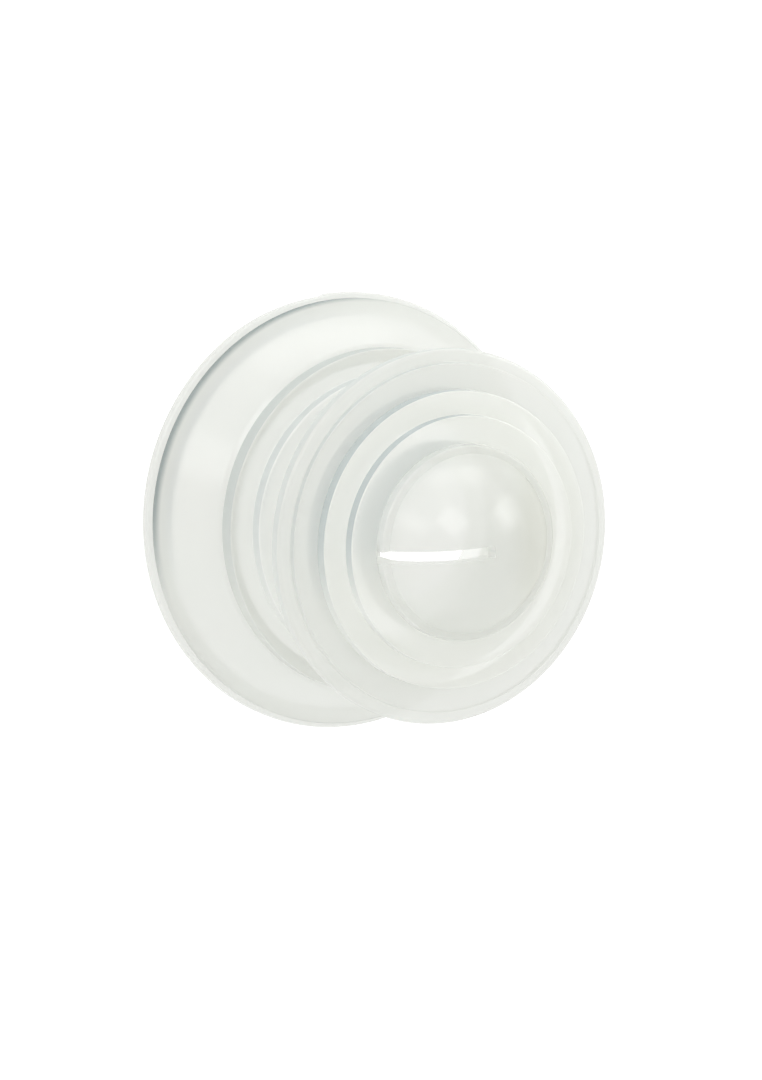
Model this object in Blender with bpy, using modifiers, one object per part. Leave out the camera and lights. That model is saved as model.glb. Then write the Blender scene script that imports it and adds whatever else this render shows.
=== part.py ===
"""Clear slip-on tip for a saliva ejector tube: a bell-shaped rear skirt with a stepped shoulder, a neck,
a stepped front shield and a slotted dome nose, all turned about one axis. Every piece is a ring or a cap
that nests in its neighbour.

Frame: metres, +Z along the axis towards the nose, origin at the middle of the rear rim's flat underside.
"""
from math import acos, asin, cos, degrees, pi, radians, sin

import bmesh
import bpy

MM = 0.001

# Driving dimensions
GAP = 0.3 * MM  # clearance left between pieces that touch
SOFT = 0.06 * MM  # small bevel on exposed corners
RIM_RADIUS = 10.0 * MM  # outer radius of the rear rim, the largest circle
RIM_HEIGHT = 0.55 * MM
RIM_WIDTH = 0.95 * MM
BELL_FOOT_RADIUS = 9.75 * MM  # the bell starts a little inside the rim, which leaves a fine ledge
BELL_BULGE = 0.2 * MM  # how far the flank swells out from a straight line
WALL = 0.7 * MM  # wall of the bell, the shoulder and the shield

# Steps of the rear shoulder, from the bell to the neck: (radius, height of the tread above it)
SHOULDER_BASE_Z = 3.45 * MM
SHOULDER_STEPS = ((7.73 * MM, 4.35 * MM), (6.69 * MM, 5.0 * MM), (5.7 * MM, 5.6 * MM))
SHOULDER_BORE = 5.0 * MM

NECK_RADIUS = 5.5 * MM
NECK_WALL = 0.6 * MM
NECK_FLARE = 0.45 * MM  # the neck widens to meet the shield

SHIELD_RADIUS = 8.09 * MM
SHIELD_Z = 9.62 * MM  # height of the shield's outer edge
SHIELD_THICKNESS = 0.65 * MM

# Steps on the front of the shield, from its edge to the nose: (radius, height of the tread above it)
LIP = (7.51 * MM, 9.96 * MM)
STEP_OUTER = (6.38 * MM, 10.5 * MM)
STEP_INNER = (5.38 * MM, 11.05 * MM)

NOSE_RADIUS = 4.27 * MM
NOSE_WALL = 0.65 * MM
NOSE_Z = 9.6 * MM  # centre of the nose's dome
NOSE_BORE = 3.4 * MM
COLLAR_RADIUS = 4.17 * MM  # the nose's foot, a step wider than its dome
COLLAR_Z = 11.5 * MM
NOSE_FOOT_Z = 9.3 * MM  # lower end of the nose's skirt, inside the hub

TUBE_BORE = 3.3 * MM  # radius that grips a 6.5 mm ejector tube
SOCKET_WALL = 0.6 * MM
SOCKET_Z = 5.4 * MM  # rear end of the tube socket

SLOT_WIDTH = 0.45 * MM
SLOT_FLOOR_Z = 9.8 * MM  # the slot runs down inside the hub, which hides its lower end
SLOT_END = 0.15 * MM  # the slot stops this far short of the pole

SEGMENTS = 72
DOME_STEPS = 9


def clear_scene():
    for old in list(bpy.data.objects):
        bpy.data.objects.remove(old, do_unlink=True)


def collection(name):
    made = bpy.data.collections.new(name)
    bpy.context.scene.collection.children.link(made)
    return made


def plastic(name, colour, roughness, alpha):
    """Clear soft plastic, with a slightly different tint for each piece."""
    made = bpy.data.materials.new(name)
    made.use_nodes = True
    shader = made.node_tree.nodes["Principled BSDF"]
    shader.inputs["Base Color"].default_value = (*colour, 1.0)
    shader.inputs["Roughness"].default_value = roughness
    shader.inputs["Metallic"].default_value = 0.0
    shader.inputs["Alpha"].default_value = alpha
    return made


def turned(name, profile, material, home):
    """A ring from a closed (radius, height) outline that runs down its outer side and up its inner
    side. An outline that starts and ends on the axis gives a closed cap."""
    mesh = bpy.data.meshes.new(name)
    points = [(radius, 0.0, height) for radius, height in profile]
    on_axis = profile[0][0] == 0.0 and profile[-1][0] == 0.0
    edges = [(i, i + 1) for i in range(len(points) - 1)]
    if not on_axis:
        edges.append((len(points) - 1, 0))
    mesh.from_pydata(points, edges, [])
    mesh.materials.append(material)
    piece = bpy.data.objects.new(name, mesh)
    home.objects.link(piece)
    screw = piece.modifiers.new("turn", "SCREW")
    screw.axis = "Z"
    screw.steps = SEGMENTS
    screw.render_steps = SEGMENTS
    screw.use_merge_vertices = True
    screw.merge_threshold = 0.00001
    screw.use_smooth_shade = True
    return piece


def arc(radius, centre_z, start, end, steps):
    """Points on a circle about the axis's point at centre_z; angles from the axis, in degrees."""
    turns = [radians(start + (end - start) * i / steps) for i in range(steps + 1)]
    return [(radius * sin(turn), centre_z + radius * cos(turn)) for turn in turns]


def rear_rim(home):
    """The flat-footed rim bead at the mouth of the bell."""
    inner = RIM_RADIUS - RIM_WIDTH
    soft = 2 * SOFT
    profile = [
        (RIM_RADIUS - soft, RIM_HEIGHT),
        (RIM_RADIUS, RIM_HEIGHT - soft),
        (RIM_RADIUS, soft),
        (RIM_RADIUS - soft, 0.0),
        (inner + soft, 0.0),
        (inner, soft),
        (inner, RIM_HEIGHT - soft),
        (inner + soft, RIM_HEIGHT),
    ]
    turned("rear_rim", profile, plastic("rim_clear", (0.80, 0.83, 0.78), 0.2, 0.6), home)


def rear_bell(home):
    """The bell's wall: it starts steep at the rim and leans in towards the shoulder."""
    bottom = RIM_HEIGHT + GAP
    top = SHOULDER_BASE_Z - GAP
    lean = (SHOULDER_STEPS[0][0] - BELL_FOOT_RADIUS) / (SHOULDER_BASE_Z - bottom)
    steps = 5
    outer = []
    for i in range(steps + 1):
        height = top + (bottom - top) * i / steps
        swell = BELL_BULGE * sin(pi * (height - bottom) / (SHOULDER_BASE_Z - bottom))
        outer.append((BELL_FOOT_RADIUS + lean * (height - bottom) + swell, height))
    inner = [(radius - WALL, height) for radius, height in reversed(outer)]
    turned("rear_bell", outer + inner, plastic("bell_clear", (0.79, 0.82, 0.77), 0.15, 0.5), home)


def climb(steps, start_z):
    """Outline of stepped rings, from the innermost tread down to start_z, with a small bevel on each."""
    outline = []
    floors = [start_z] + [tread for _, tread in steps[:-1]]
    for (radius, tread), floor in reversed(list(zip(steps, floors))):
        outline += [(radius - SOFT, tread), (radius, tread - SOFT), (radius, floor)]
    return outline


def stepped_shoulder(home):
    """The front wall of the bell, a thin shell that climbs to the neck in three square steps."""
    outer = climb(SHOULDER_STEPS, SHOULDER_BASE_Z)
    (first, low), (second, middle), (_, high) = SHOULDER_STEPS
    profile = [(SHOULDER_BORE, high)] + outer + [
        (first - WALL, SHOULDER_BASE_Z),
        (first - WALL, low - WALL),
        (second - WALL, low - WALL),
        (second - WALL, middle - WALL),
        (SHOULDER_BORE, middle - WALL),
    ]
    clear = plastic("shoulder_clear", (0.76, 0.80, 0.76), 0.2, 0.6)
    turned("stepped_shoulder", profile, clear, home)


def neck_tube(home):
    """The neck between the shoulder and the shield, which flares at its front end."""
    bottom = SHOULDER_STEPS[-1][1] + GAP
    top = SHIELD_Z - SHIELD_THICKNESS
    inner = NECK_RADIUS - NECK_WALL
    profile = [
        (NECK_RADIUS + NECK_FLARE, top),
        (NECK_RADIUS + 0.35 * NECK_FLARE, top - 0.5 * MM),
        (NECK_RADIUS, top - 1.3 * MM),
        (NECK_RADIUS, bottom),
        (inner, bottom),
        (inner, top),
    ]
    turned("neck_tube", profile, plastic("neck_clear", (0.78, 0.81, 0.77), 0.2, 0.5), home)


def front_shield(home):
    """The outer part of the front shield: a thin flat ring with a raised land inside its edge."""
    inner = STEP_OUTER[0] + GAP
    lip_radius, lip_z = LIP
    back = SHIELD_Z - SHIELD_THICKNESS
    profile = [
        (inner, lip_z),
        (lip_radius - SOFT, lip_z),
        (lip_radius, lip_z - SOFT),
        (lip_radius, SHIELD_Z),
        (SHIELD_RADIUS - 2 * SOFT, SHIELD_Z),
        (SHIELD_RADIUS, SHIELD_Z - 2 * SOFT),
        (SHIELD_RADIUS, back + 2 * SOFT),
        (SHIELD_RADIUS - 2 * SOFT, back),
        (inner, back),
    ]
    turned("front_shield", profile, plastic("shield_clear", (0.80, 0.83, 0.79), 0.15, 0.5), home)


def stepped_hub(home):
    """The middle of the shield: two square steps that climb to the nose, round the bore that holds it."""
    bore = COLLAR_RADIUS + GAP
    back = SHIELD_Z - SHIELD_THICKNESS + GAP
    profile = [(bore, STEP_INNER[1])] + climb((STEP_OUTER, STEP_INNER), back) + [(bore, back)]
    turned("stepped_hub", profile, plastic("hub_clear", (0.79, 0.82, 0.78), 0.15, 0.5), home)


def slot_cutter(home):
    """A thin box that opens the nose on its -Y side, from its foot nearly to its pole."""
    mesh = bpy.data.meshes.new("slot_cutter")
    box = bmesh.new()
    bmesh.ops.create_cube(box, size=1.0)
    reach = 2.0 * NOSE_RADIUS
    height = 2.0 * NOSE_RADIUS
    bmesh.ops.scale(box, vec=(SLOT_WIDTH, reach, height), verts=box.verts)
    middle = (0.0, -(SLOT_END + reach / 2), SLOT_FLOOR_Z + height / 2)
    bmesh.ops.translate(box, vec=middle, verts=box.verts)
    box.to_mesh(mesh)
    box.free()
    cutter = bpy.data.objects.new("slot_cutter", mesh)
    cutter.hide_render = True
    cutter.display_type = "WIRE"
    home.objects.link(cutter)
    return cutter


def nose_cap(home, cutters):
    """The dome on its collar and skirt, with one suction slot that stops just short of the pole."""
    inner_radius = NOSE_RADIUS - NOSE_WALL
    outer_end = degrees(acos((COLLAR_Z - NOSE_Z) / NOSE_RADIUS))
    inner_end = degrees(asin(NOSE_BORE / inner_radius))
    outer = arc(NOSE_RADIUS, NOSE_Z, 0, outer_end, DOME_STEPS)
    inner = arc(inner_radius, NOSE_Z, inner_end, 0, DOME_STEPS)
    collar = [
        (COLLAR_RADIUS - SOFT, COLLAR_Z),
        (COLLAR_RADIUS, COLLAR_Z - SOFT),
        (COLLAR_RADIUS, NOSE_FOOT_Z),
        (NOSE_BORE, NOSE_FOOT_Z),
    ]
    profile = outer + collar + inner
    profile[0] = (0.0, profile[0][1])
    profile[-1] = (0.0, profile[-1][1])
    cap = turned("nose_cap", profile, plastic("nose_clear", (0.80, 0.82, 0.80), 0.12, 0.55), home)
    cut = cap.modifiers.new("slot", "BOOLEAN")
    cut.operation = "DIFFERENCE"
    cut.solver = "EXACT"
    cut.object = slot_cutter(cutters)


def tube_socket(home):
    """The bushing behind the nose that grips the ejector tube; its mouth is chamfered."""
    outer = TUBE_BORE + SOCKET_WALL
    top = NOSE_FOOT_Z - GAP
    profile = [
        (outer, top),
        (outer, SOCKET_Z),
        (TUBE_BORE + 0.15 * MM, SOCKET_Z),
        (TUBE_BORE, SOCKET_Z + 0.3 * MM),
        (TUBE_BORE, top),
    ]
    turned("tube_socket", profile, plastic("socket_clear", (0.77, 0.80, 0.77), 0.2, 0.5), home)


def main():
    clear_scene()
    parts = collection("saliva_ejector_tip")
    cutters = collection("cutters")
    rear_rim(parts)
    rear_bell(parts)
    stepped_shoulder(parts)
    neck_tube(parts)
    front_shield(parts)
    stepped_hub(parts)
    nose_cap(parts, cutters)
    tube_socket(parts)


main()
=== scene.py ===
from math import acos, asin, atan2, cos, hypot, pi, radians, sin, tan

import bmesh
import bpy
from mathutils import Matrix, Vector

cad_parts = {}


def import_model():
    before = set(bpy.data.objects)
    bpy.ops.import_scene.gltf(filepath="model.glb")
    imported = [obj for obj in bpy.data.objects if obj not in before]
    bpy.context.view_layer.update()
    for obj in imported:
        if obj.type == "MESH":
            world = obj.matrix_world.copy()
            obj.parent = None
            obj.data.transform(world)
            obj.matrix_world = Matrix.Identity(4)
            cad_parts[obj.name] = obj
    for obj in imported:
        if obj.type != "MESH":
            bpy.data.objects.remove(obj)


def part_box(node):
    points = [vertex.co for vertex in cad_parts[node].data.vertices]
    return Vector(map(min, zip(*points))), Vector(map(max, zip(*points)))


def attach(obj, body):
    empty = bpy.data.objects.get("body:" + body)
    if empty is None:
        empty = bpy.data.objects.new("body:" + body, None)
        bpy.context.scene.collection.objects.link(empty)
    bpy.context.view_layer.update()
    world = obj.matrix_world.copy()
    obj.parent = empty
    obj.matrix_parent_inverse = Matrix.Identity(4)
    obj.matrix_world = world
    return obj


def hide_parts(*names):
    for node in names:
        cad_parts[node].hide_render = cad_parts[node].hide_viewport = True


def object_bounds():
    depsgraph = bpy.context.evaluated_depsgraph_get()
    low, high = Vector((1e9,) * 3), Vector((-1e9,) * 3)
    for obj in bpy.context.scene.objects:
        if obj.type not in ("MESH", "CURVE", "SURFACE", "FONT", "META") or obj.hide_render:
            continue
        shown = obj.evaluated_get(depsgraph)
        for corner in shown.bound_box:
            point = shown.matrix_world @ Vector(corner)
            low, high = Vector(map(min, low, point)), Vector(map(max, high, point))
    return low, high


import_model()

# The looks of a clear, soft saliva ejector tip. Each CAD ring is replaced by a finer turned piece with
# rounded corners and moulding marks, in a hazy clear plastic. Everything is in metres, in the frame's axes.

cad_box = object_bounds()

MM = 0.001
SEAM = 0.02 * MM  # gap left between neighbouring pieces
TURNS = 240  # facets round the axis
CORNER_STEPS = 4
SUPPORT = 0.015 * MM  # distance of the extra rings that keep flat faces flat next to a rounded corner

# Shared sizes of the moulding
RIM_WIDTH = 0.95 * MM
WALL = 0.7 * MM  # bell and shoulder
BELL_BULGE = 0.2 * MM
SHOULDER_TREADS = (4.35 * MM, 5.0 * MM)  # heights of the two outer treads
SHOULDER_STEPS = (6.69 * MM, 5.7 * MM)  # radii of the two inner steps
SHOULDER_BORE = 5.0 * MM
NECK_RADIUS, NECK_WALL, NECK_FLARE = 5.5 * MM, 0.6 * MM, 0.45 * MM
SHIELD_Z, LIP_RADIUS = 9.62 * MM, 7.51 * MM
HUB_TREAD, HUB_STEP = 10.5 * MM, 5.38 * MM
NOSE_RADIUS, NOSE_WALL, NOSE_BORE = 4.27 * MM, 0.65 * MM, 3.4 * MM
COLLAR_RADIUS, COLLAR_Z = 4.17 * MM, 11.5 * MM
SLOT_WIDTH, SLOT_END, SLOT_FLOOR_Z = 0.52 * MM, 0.15 * MM, 9.8 * MM
SLOT_CUTTER = 8 * MM  # more than enough to leave the dome on the outside
TUBE_BORE = 3.3 * MM

# A hair's step in the rim's outline where the plastic entered the mould
GATE = radians(182)
GATE_FADE = radians(24)
GATE_DEPTH = 0.09 * MM
GATE_INNER = 9.5 * MM  # only the bead's outer side has it

# Camera: where the tip's axis points in the picture, and where its rim lies
TILT = radians(29.61)  # between the tip's axis and the line of sight
SWING = radians(15.47)  # how far the axis leans below the horizontal in the picture
SPIN = radians(22.2)  # turn of the slot away from the near side of the nose
RIM_IN_VIEW = Vector((-1.741, 1.351, -123.68)) * MM  # rim centre seen from the camera: right, up, back
LENS = 90.0
SENSOR = 36.0

# Light: the floor and the backdrop read as plain white, the tip is lit a little less
FLOOR_GLOW = 1.0
WORLD = 0.9
BACKDROP = 1.0


def extent(node):
    """Outer radius, bottom and top of a CAD ring."""
    low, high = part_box(node)
    return high.x, low.z, high.z


# ---------------------------------------------------------------- outlines

def unit(vector):
    length = hypot(*vector)
    return (vector[0] / length, vector[1] / length)


def rounded(corners):
    """An outline of (radius, height, softness) corners with each corner turned into an arc.
    Corners with no softness stay sharp. Short support steps keep the flats between arcs flat."""
    outline = []
    count = len(corners)
    for i, (x, z, soft) in enumerate(corners):
        before, after = corners[i - 1], corners[(i + 1) % count]
        if soft <= 0:
            outline.append((x, z))
            continue
        back = unit((before[0] - x, before[1] - z))
        ahead = unit((after[0] - x, after[1] - z))
        opening = acos(max(-1.0, min(1.0, back[0] * ahead[0] + back[1] * ahead[1])))
        room = 0.45 * min(hypot(before[0] - x, before[1] - z), hypot(after[0] - x, after[1] - z))
        reach = min(soft / tan(opening / 2), room)
        radius = reach * tan(opening / 2)
        middle = unit((back[0] + ahead[0], back[1] + ahead[1]))
        away = radius / sin(opening / 2)
        centre = (x + middle[0] * away, z + middle[1] * away)
        start = (x + back[0] * reach, z + back[1] * reach)
        end = (x + ahead[0] * reach, z + ahead[1] * reach)
        first = atan2(start[1] - centre[1], start[0] - centre[0])
        sweep = atan2(end[1] - centre[1], end[0] - centre[0]) - first
        sweep = (sweep + pi) % (2 * pi) - pi
        outline.append((start[0] + back[0] * SUPPORT, start[1] + back[1] * SUPPORT))
        for step in range(CORNER_STEPS + 1):
            turn = first + sweep * step / CORNER_STEPS
            outline.append((centre[0] + radius * cos(turn), centre[1] + radius * sin(turn)))
        outline.append((end[0] + ahead[0] * SUPPORT, end[1] + ahead[1] * SUPPORT))
    return outline


def arc(radius, centre_z, start, end, steps):
    """Sharp corners along a circle about the axis's point at centre_z; angles from the axis."""
    turns = [start + (end - start) * i / steps for i in range(steps + 1)]
    return [(radius * sin(turn), centre_z + radius * cos(turn), 0.0) for turn in turns]


ON_AXIS = 1e-7


def turned(name, corners, shape=None):
    """A closed ring, or a cap if its outline starts and ends on the axis, turned about +Z.
    shape(radius, turn, height) may move each point to a new (radius, turn, height)."""
    outline = rounded(corners)
    mesh = bpy.data.meshes.new(name)
    built = bmesh.new()
    loops = []
    for radius, height in outline:
        if radius < ON_AXIS:
            loops.append([built.verts.new((0.0, 0.0, height))] * TURNS)
            continue
        loop = []
        for i in range(TURNS):
            turn = 2 * pi * i / TURNS
            place = shape(radius, turn, height) if shape else (radius, turn, height)
            loop.append(built.verts.new((place[0] * cos(place[1]), place[0] * sin(place[1]), place[2])))
        loops.append(loop)
    capped = outline[0][0] < ON_AXIS
    pairs = list(zip(loops, loops[1:])) + ([] if capped else [(loops[-1], loops[0])])
    for upper, lower in pairs:
        for i in range(TURNS):
            j = (i + 1) % TURNS
            corner = [upper[i], lower[i], lower[j], upper[j]]
            face = list(dict.fromkeys(corner))
            if len(face) > 2:
                built.faces.new(face).smooth = True
    bmesh.ops.recalc_face_normals(built, faces=built.faces)
    built.to_mesh(mesh)
    built.free()
    piece = bpy.data.objects.new(name, mesh)
    bpy.context.scene.collection.objects.link(piece)
    return piece


# ---------------------------------------------------------------- material

def linked(tree, kind, settings=None, **sockets):
    """A new node with its settings, its input values and its incoming links."""
    node = tree.nodes.new(kind)
    for key, value in (settings or {}).items():
        setattr(node, key, value)
    for key, value in sockets.items():
        target = node.inputs[int(key[1:])] if key[0] == "i" and key[1:].isdigit() else node.inputs[key]
        if isinstance(value, bpy.types.NodeSocket):
            tree.links.new(value, target)
        else:
            target.default_value = value
    return node


HAZE = (0.99, 1.01, 0.98)  # a faint olive cast
SHADE = (0.985, 0.985, 0.955)
RISER_SHADE = (0.42, 0.50, 0.54, 1.0)  # painted shade: cool grey on square steps, standing in for the light they bend away
RISER_SHADE_SIDE = (-0.73, -0.68, 0.0)  # the side where the photograph shows most of it; fixed in the part's axes
REST = 0.18  # how much of it is left on the other sides
CLARITY = 0.2  # share of clear transmission in the surface's own shader
GLOW_SHARE = 0.55  # share of light that the haze passes on diffusely
TOOL_MARKS = 0.16  # mm between the fine turned rings
FOOT_SHADE = (0.20, 0.26, 0.28, 1.0)  # painted shade: a dark line at the crease between the rim bead and the bell, deepest on one side
FOOT_SHADE_FADE = 0.35  # mm over which it fades upwards
EDGE_SHADE = (0.80, 0.80, 0.74, 1.0)  # painted olive shade on one side of the dome, standing in for refraction
EDGE_SHADE_SIDE = (0.07, 0.877, 0.476)  # to the right in the photograph's view; fixed in the part's axes


def ramp(tree, value, start, end, low=0.0, high=1.0):
    """A smooth change from low to high as the value goes from start to end."""
    made = linked(tree, "ShaderNodeMapRange", {"interpolation_type": "SMOOTHSTEP"},
                  i0=value, i1=start, i2=end, i3=low, i4=high)
    return made.outputs["Result"]


def facing(tree, direction, side):
    """How far a direction points to one fixed side of the part, or along another direction."""
    made = linked(tree, "ShaderNodeVectorMath", {"operation": "DOT_PRODUCT"}, i0=direction, i1=side)
    return made.outputs["Value"]


def product(tree, first, second):
    return linked(tree, "ShaderNodeMath", {"operation": "MULTIPLY"}, i0=first, i1=second).outputs[0]


def tinted(tree, base, colour, share):
    """The base colour with a share of another colour over it."""
    mixed = linked(tree, "ShaderNodeMix", {"data_type": "RGBA"}, i0=share)
    tree.links.new(base, mixed.inputs[6])
    mixed.inputs[7].default_value = colour
    return mixed.outputs[2]


def hazy_plastic(name, tone, sheer, riser_shade=0.0, foot_shade_height=0.0, edge_shade=0.0, roughness=0.16):
    """Soft clear moulding: cloudy tint, fine turned tool marks, satin patches, and painted shade on square
    risers.
    tone is the piece's lightness, set apart per piece as painted light and shade; sheer is the share of
    light that goes straight through each wall, foot_shade_height the height in mm up to which the foot of
    the piece carries a painted dark line of shade, and edge the depth of the painted olive shade in the
    EDGE_SHADE colour."""
    made = bpy.data.materials.new(name)
    made.use_nodes = True
    tree = made.node_tree
    shader = tree.nodes["Principled BSDF"]
    output = tree.nodes["Material Output"]
    place = tree.nodes.new("ShaderNodeTexCoord")
    in_mm = linked(tree, "ShaderNodeVectorMath", {"operation": "SCALE"},
                   i0=place.outputs["Object"], Scale=1 / MM)
    spot = in_mm.outputs["Vector"]

    cloud = linked(tree, "ShaderNodeTexNoise", None, Vector=spot, Scale=0.22, Detail=3.0, Roughness=0.55)
    tint = linked(tree, "ShaderNodeMix", {"data_type": "RGBA"}, i0=cloud.outputs["Fac"])
    tint.inputs[6].default_value = (*(min(1.0, tone * part) for part in SHADE), 1.0)
    tint.inputs[7].default_value = (*(min(1.0, tone * part) for part in HAZE), 1.0)

    # Painted shade on square risers: the steeper an outward face, the cooler and deeper, mostly on one side
    flat = linked(tree, "ShaderNodeVectorMath", {"operation": "MULTIPLY"}, i0=spot, i1=(1.0, 1.0, 0.0))
    away = linked(tree, "ShaderNodeVectorMath", {"operation": "NORMALIZE"}, i0=flat.outputs["Vector"])
    outward = away.outputs["Vector"]
    aside = facing(tree, outward, RISER_SHADE_SIDE)
    out = facing(tree, outward, place.outputs["Normal"])
    colour = tinted(tree, tint.outputs[2], RISER_SHADE, product(
        tree, ramp(tree, out, 0.86, 0.99), ramp(tree, aside, 0.3, 0.9, REST * riser_shade, riser_shade)))
    # Painted shade: a dark line along the foot of the piece, deepest on one side
    if foot_shade_height:
        height = linked(tree, "ShaderNodeSeparateXYZ", None, Vector=spot)
        low = ramp(tree, height.outputs["Z"], foot_shade_height, foot_shade_height - FOOT_SHADE_FADE)
        near_foot = product(tree, low, ramp(tree, out, 0.3, 0.6))
        on_side = ramp(tree, aside, 0.45, 0.85, 0.05, 0.9)
        colour = tinted(tree, colour, FOOT_SHADE, product(tree, near_foot, on_side))
    # Painted shade: olive darkening on the side of the dome that faces one fixed direction
    if edge_shade:
        turned_away = facing(tree, place.outputs["Normal"], EDGE_SHADE_SIDE)
        colour = tinted(tree, colour, EDGE_SHADE, ramp(tree, turned_away, 0.6, 0.85, 0.0, edge_shade))
    tree.links.new(colour, shader.inputs["Base Color"])

    satin = linked(tree, "ShaderNodeTexNoise", None, Vector=spot, Scale=0.9, Detail=4.0, Roughness=0.6)
    gloss = linked(tree, "ShaderNodeMapRange", None, Value=satin.outputs["Fac"])
    gloss.inputs["From Min"].default_value = 0.3
    gloss.inputs["From Max"].default_value = 0.7
    gloss.inputs["To Min"].default_value = 0.75 * roughness
    gloss.inputs["To Max"].default_value = 1.3 * roughness
    tree.links.new(gloss.outputs["Result"], shader.inputs["Roughness"])

    radius = linked(tree, "ShaderNodeVectorMath", {"operation": "LENGTH"}, i0=flat.outputs["Vector"])
    phase = product(tree, radius.outputs["Value"], 2 * pi / TOOL_MARKS)
    rings = linked(tree, "ShaderNodeMath", {"operation": "SINE"}, i0=phase)
    ripple = linked(tree, "ShaderNodeTexNoise", None, Vector=spot, Scale=1.4, Detail=2.0)
    relief = linked(tree, "ShaderNodeMath", {"operation": "MULTIPLY_ADD"}, i0=ripple.outputs["Fac"], i1=12.0)
    tree.links.new(rings.outputs[0], relief.inputs[2])
    bump = linked(tree, "ShaderNodeBump", None, Height=relief.outputs[0], Strength=0.25, Distance=0.002 * MM)
    tree.links.new(bump.outputs["Normal"], shader.inputs["Normal"])

    shader.inputs["IOR"].default_value = 1.43
    shader.inputs["Transmission Weight"].default_value = CLARITY
    glow = linked(tree, "ShaderNodeBsdfTranslucent", None, Color=colour)
    blend = linked(tree, "ShaderNodeMixShader", None, Fac=GLOW_SHARE)
    tree.links.new(shader.outputs["BSDF"], blend.inputs[1])
    tree.links.new(glow.outputs["BSDF"], blend.inputs[2])
    through = linked(tree, "ShaderNodeBsdfTransparent")
    sheer = linked(tree, "ShaderNodeMixShader", None, Fac=sheer)
    tree.links.new(blend.outputs["Shader"], sheer.inputs[1])
    tree.links.new(through.outputs["BSDF"], sheer.inputs[2])
    tree.links.new(sheer.outputs["Shader"], output.inputs["Surface"])
    return made


def fit(piece, node, material):
    piece.data.materials.append(material)
    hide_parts(node)
    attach(piece, "root")


# ---------------------------------------------------------------- camera, floor and light

def camera():
    """The near side of the rim lies along -X turned by SPIN; the axis leans right and down in view."""
    axis = Vector((sin(TILT) * cos(SWING), -sin(TILT) * sin(SWING), cos(TILT)))
    lean = Vector((cos(TILT) * cos(SWING), -cos(TILT) * sin(SWING), -sin(TILT)))
    side = axis.cross(lean)
    y_axis = lean * cos(SPIN) + side * sin(SPIN)
    x_axis = lean * sin(SPIN) - side * cos(SPIN)
    turn = Matrix((x_axis, y_axis, axis))
    data = bpy.data.cameras.new("camera")
    data.lens = LENS
    data.sensor_width = SENSOR
    data.clip_start = 1 * MM
    data.clip_end = 10.0
    made = bpy.data.objects.new("camera", data)
    bpy.context.scene.collection.objects.link(made)
    made.matrix_world = Matrix.Translation(turn @ -RIM_IN_VIEW) @ turn.to_4x4()
    bpy.context.scene.camera = made
    return turn


def floor():
    """A wide pale sweep under the tip, lit enough by itself to read as plain white."""
    mesh = bpy.data.meshes.new("floor")
    mesh.from_pydata([(-1, -1, 0), (1, -1, 0), (1, 1, 0), (-1, 1, 0)], [], [(0, 1, 2, 3)])
    made = bpy.data.objects.new("floor", mesh)
    made.location.z = -0.02 * MM
    bpy.context.scene.collection.objects.link(made)
    paint = bpy.data.materials.new("floor_paint")
    paint.use_nodes = True
    shader = paint.node_tree.nodes["Principled BSDF"]
    shader.inputs["Base Color"].default_value = (0.15, 0.15, 0.15, 1.0)
    shader.inputs["Roughness"].default_value = 0.9
    shader.inputs["Emission Color"].default_value = (1.0, 1.0, 1.0, 1.0)
    shader.inputs["Emission Strength"].default_value = FLOOR_GLOW
    mesh.materials.append(paint)


def world():
    made = bpy.data.worlds.new("studio")
    bpy.context.scene.world = made
    made.use_nodes = True
    tree = made.node_tree
    background = tree.nodes["Background"]
    background.inputs["Color"].default_value = (1.0, 1.0, 1.0, 1.0)
    ray = tree.nodes.new("ShaderNodeLightPath")
    level = linked(tree, "ShaderNodeMapRange", None, Value=ray.outputs["Is Camera Ray"])
    level.inputs["To Min"].default_value = WORLD
    level.inputs["To Max"].default_value = BACKDROP
    tree.links.new(level.outputs["Result"], background.inputs["Strength"])


def softbox(name, turn, place, size, power, only_gloss=True):
    """A rectangular lamp; its place is right, up and towards the camera from the middle of the tip."""
    data = bpy.data.lights.new(name, "AREA")
    data.shape = "RECTANGLE"
    data.size, data.size_y = size[0] * MM, size[1] * MM
    data.energy = power
    made = bpy.data.objects.new(name, data)
    bpy.context.scene.collection.objects.link(made)
    middle = Vector((0, 0, 0.5 * (cad_box[0].z + cad_box[1].z)))
    spot = middle + turn @ (Vector(place) * MM)
    made.location = spot
    made.rotation_euler = (middle - spot).to_track_quat("-Z", "Y").to_euler()
    if only_gloss:
        made.visible_diffuse = False
        made.visible_transmission = False
    return made


# ---------------------------------------------------------------- pieces

def rear_rim():
    radius, bottom, top = extent("rear_rim")
    inner = radius - RIM_WIDTH
    foot = extent("rear_bell")[0]
    corners = [
        (foot + 0.05 * MM, top, 0.04 * MM),
        (radius, top - 0.02 * MM, 0.12 * MM),
        (radius, bottom, 0.14 * MM),
        (inner, bottom, 0.12 * MM),
        (inner, top, 0.03 * MM),
    ]
    return turned("rim_bead", corners, gate_mark)


def gate_mark(radius, turn, height):
    """The bead's outer side steps in by a hair at the moulding gate and comes back over the next stretch."""
    past = (turn - GATE) % (2 * pi)
    if radius > GATE_INNER and past < GATE_FADE:
        radius -= GATE_DEPTH * (1 - past / GATE_FADE)
    return radius, turn, height


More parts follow.
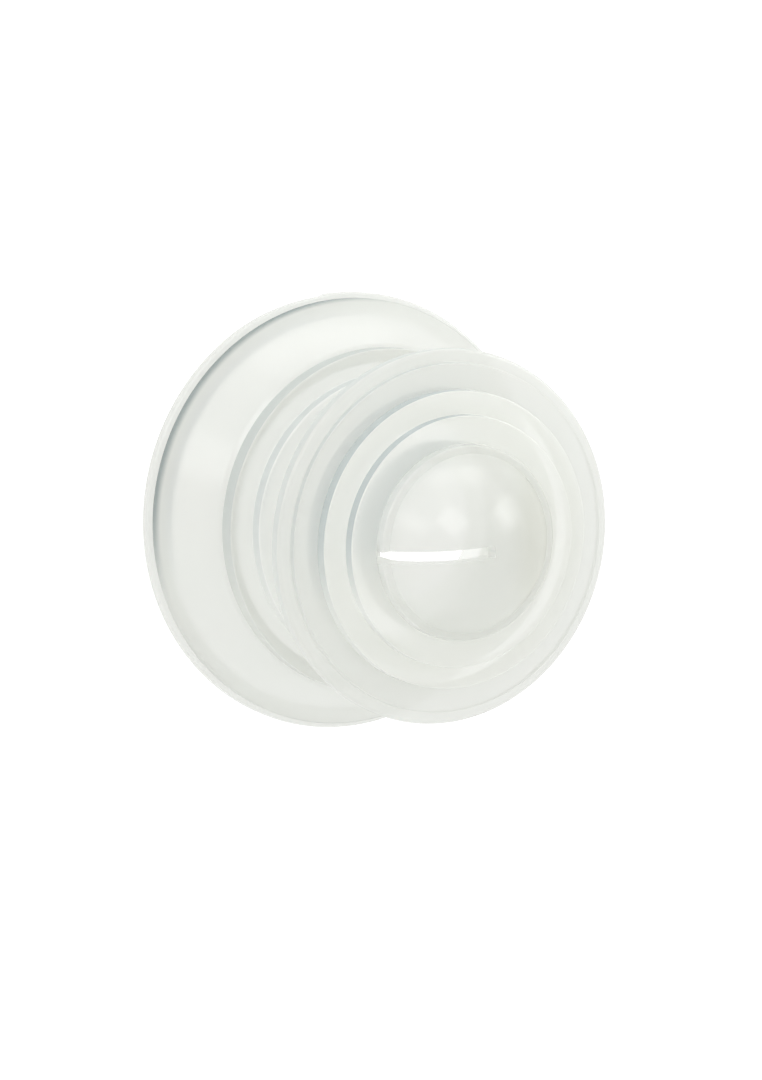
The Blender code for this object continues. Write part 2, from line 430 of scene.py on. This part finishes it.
def rear_bell():
    foot, bottom, top = extent("rear_bell")
    shoulder, shoulder_z, _ = extent("stepped_shoulder")
    rim_top = extent("rear_rim")[2]
    steps = 14
    outer = []
    for i in range(steps + 1):
        height = shoulder_z - SEAM + (bottom - shoulder_z + SEAM) * i / steps
        part = (height - bottom) / (shoulder_z - bottom)
        outer.append((foot + (shoulder - foot) * part + BELL_BULGE * sin(pi * part), height, 0.0))
    inner = [(radius - WALL, height, 0.0) for radius, height, _ in reversed(outer)]
    foot_band = [(foot, rim_top + SEAM, 0.03 * MM), (foot - WALL, rim_top + SEAM, 0.03 * MM)]
    return turned("bell_flank", outer + foot_band + inner)


def climb(steps, start_z, soft):
    """Corners of square steps from the innermost tread down to start_z."""
    corners = []
    floors = [start_z] + [tread for _, tread in steps[:-1]]
    for (radius, tread), floor_z in reversed(list(zip(steps, floors))):
        corners += [(radius, tread, soft), (radius, floor_z, 0.6 * soft)]
    return corners


def stepped_shoulder():
    radius, bottom, top = extent("stepped_shoulder")
    (outer_tread, inner_tread), (step, last_step) = SHOULDER_TREADS, SHOULDER_STEPS
    steps = ((radius, outer_tread), (step, inner_tread), (last_step, top))
    corners = [(SHOULDER_BORE, top, 0.05 * MM)] + climb(steps, bottom, 0.08 * MM) + [
        (radius - WALL, bottom, 0.03 * MM),
        (radius - WALL, outer_tread - WALL, 0.1 * MM),
        (step - WALL, outer_tread - WALL, 0.1 * MM),
        (step - WALL, inner_tread - WALL, 0.1 * MM),
        (SHOULDER_BORE, inner_tread - WALL, 0.1 * MM),
    ]
    return turned("shoulder_steps", corners)


def neck():
    top = extent("neck_tube")[2]
    shoulder_top = extent("stepped_shoulder")[2]
    corners = [
        (NECK_RADIUS + NECK_FLARE, top - SEAM, 0.03 * MM),
        (NECK_RADIUS + 0.12 * MM, top - 0.5 * MM, 0.6 * MM),
        (NECK_RADIUS, top - 1.3 * MM, 0.8 * MM),
        (NECK_RADIUS, shoulder_top + SEAM, 0.05 * MM),
        (NECK_RADIUS - NECK_WALL, shoulder_top + SEAM, 0.05 * MM),
        (NECK_RADIUS - NECK_WALL, top - SEAM, 0.05 * MM),
    ]
    return turned("neck_sleeve", corners)


def front_shield():
    radius, back, lip_z = extent("front_shield")
    hub = extent("stepped_hub")[0]
    corners = [
        (hub + SEAM, lip_z, 0.02 * MM),
        (LIP_RADIUS, lip_z, 0.05 * MM),
        (LIP_RADIUS, SHIELD_Z, 0.05 * MM),
        (radius, SHIELD_Z, 0.16 * MM),
        (radius, back, 0.16 * MM),
        (hub + SEAM, back, 0.02 * MM),
    ]
    return turned("shield_disc", corners)


def stepped_hub():
    radius, _, top = extent("stepped_hub")
    back = extent("front_shield")[1]
    bore = COLLAR_RADIUS + SEAM
    steps = ((radius, HUB_TREAD), (HUB_STEP, top))
    corners = [(bore, top, 0.04 * MM)] + climb(steps, back, 0.06 * MM)[:-1]
    corners += [(radius, back, 0.03 * MM), (bore, back, 0.03 * MM)]
    return turned("hub_steps", corners)


def nose():
    collar, foot_z, pole = extent("nose_cap")
    centre = pole - NOSE_RADIUS
    inner_radius = NOSE_RADIUS - NOSE_WALL
    outer = arc(NOSE_RADIUS, centre, 0.0, acos((COLLAR_Z - centre) / NOSE_RADIUS), 28)
    inner = arc(inner_radius, centre, asin(NOSE_BORE / inner_radius), 0.0, 24)
    foot = [
        (collar, COLLAR_Z, 0.1 * MM),
        (collar, foot_z, 0.04 * MM),
        (NOSE_BORE, foot_z, 0.04 * MM),
    ]
    corners = outer + foot + inner
    corners[0] = (0.0, corners[0][1], 0.0)
    corners[-1] = (0.0, corners[-1][1], 0.0)
    piece = turned("nose_dome", corners)
    cut_slot(piece)
    piece.data.set_sharp_from_angle(angle=radians(50))
    return piece


def cut_slot(piece):
    """Cuts the suction slot on the -Y side, from below the hub's top face nearly to the pole."""
    mesh = bpy.data.meshes.new("slot")
    box = bmesh.new()
    bmesh.ops.create_cube(box, size=1.0)
    bmesh.ops.scale(box, vec=(SLOT_WIDTH, SLOT_CUTTER, SLOT_CUTTER), verts=box.verts)
    middle = (0.0, -(SLOT_END + SLOT_CUTTER / 2), SLOT_FLOOR_Z + SLOT_CUTTER / 2)
    bmesh.ops.translate(box, vec=middle, verts=box.verts)
    box.to_mesh(mesh)
    box.free()
    cutter = bpy.data.objects.new("slot", mesh)
    bpy.context.scene.collection.objects.link(cutter)
    cut = piece.modifiers.new("slot", "BOOLEAN")
    cut.operation = "DIFFERENCE"
    cut.solver = "EXACT"
    cut.object = cutter
    result = piece.evaluated_get(bpy.context.evaluated_depsgraph_get())
    piece.data = bpy.data.meshes.new_from_object(result)
    piece.modifiers.clear()
    bpy.data.objects.remove(cutter)


def socket():
    outer, bottom, _ = extent("tube_socket")
    nose_foot = extent("nose_cap")[1]
    corners = [
        (outer, nose_foot - SEAM, 0.04 * MM),
        (outer, bottom, 0.06 * MM),
        (TUBE_BORE + 0.15 * MM, bottom, 0.03 * MM),
        (TUBE_BORE, bottom + 0.3 * MM, 0.05 * MM),
        (TUBE_BORE, nose_foot - SEAM, 0.03 * MM),
    ]
    return turned("socket_bush", corners)


view_turn = camera()
floor()
world()
bpy.context.scene.view_settings.view_transform = "Standard"
softbox("left_box", view_turn, (-88, 40, 82), (42, 120), 0.07)
softbox("near_box", view_turn, (9, 36, 110), (50, 60), 0.08)
softbox("right_box", view_turn, (104, 42, 26), (50, 60), 0.07)
softbox("top_box", view_turn, (10, 110, 10), (120, 60), 0.06, only_gloss=False)
softbox("top_gleam", view_turn, (10, 110, 10), (120, 60), 0.1)

# The pieces are one plastic; their tones differ as painted light and shade: lighter for the hub and socket
# in the middle, darker for the rim, bell and nose.
fit(rear_rim(), "rear_rim", hazy_plastic("rim_haze", 0.87, 0.28))
fit(rear_bell(), "rear_bell",
    hazy_plastic("bell_haze", 0.88, 0.25, riser_shade=0.12, foot_shade_height=1.15))
fit(stepped_shoulder(), "stepped_shoulder",
    hazy_plastic("shoulder_haze", 0.9, 0.3, riser_shade=0.45))
fit(neck(), "neck_tube", hazy_plastic("neck_haze", 0.9, 0.45))
fit(front_shield(), "front_shield", hazy_plastic("shield_haze", 0.9, 0.32, riser_shade=0.3))
fit(stepped_hub(), "stepped_hub", hazy_plastic("hub_haze", 1.0, 0.35, riser_shade=0.85))
fit(nose(), "nose_cap",
    hazy_plastic("nose_haze", 0.88, 0.44, riser_shade=0.2, edge_shade=0.8, roughness=0.16))
fit(socket(), "tube_socket", hazy_plastic("socket_haze", 0.98, 0.65))
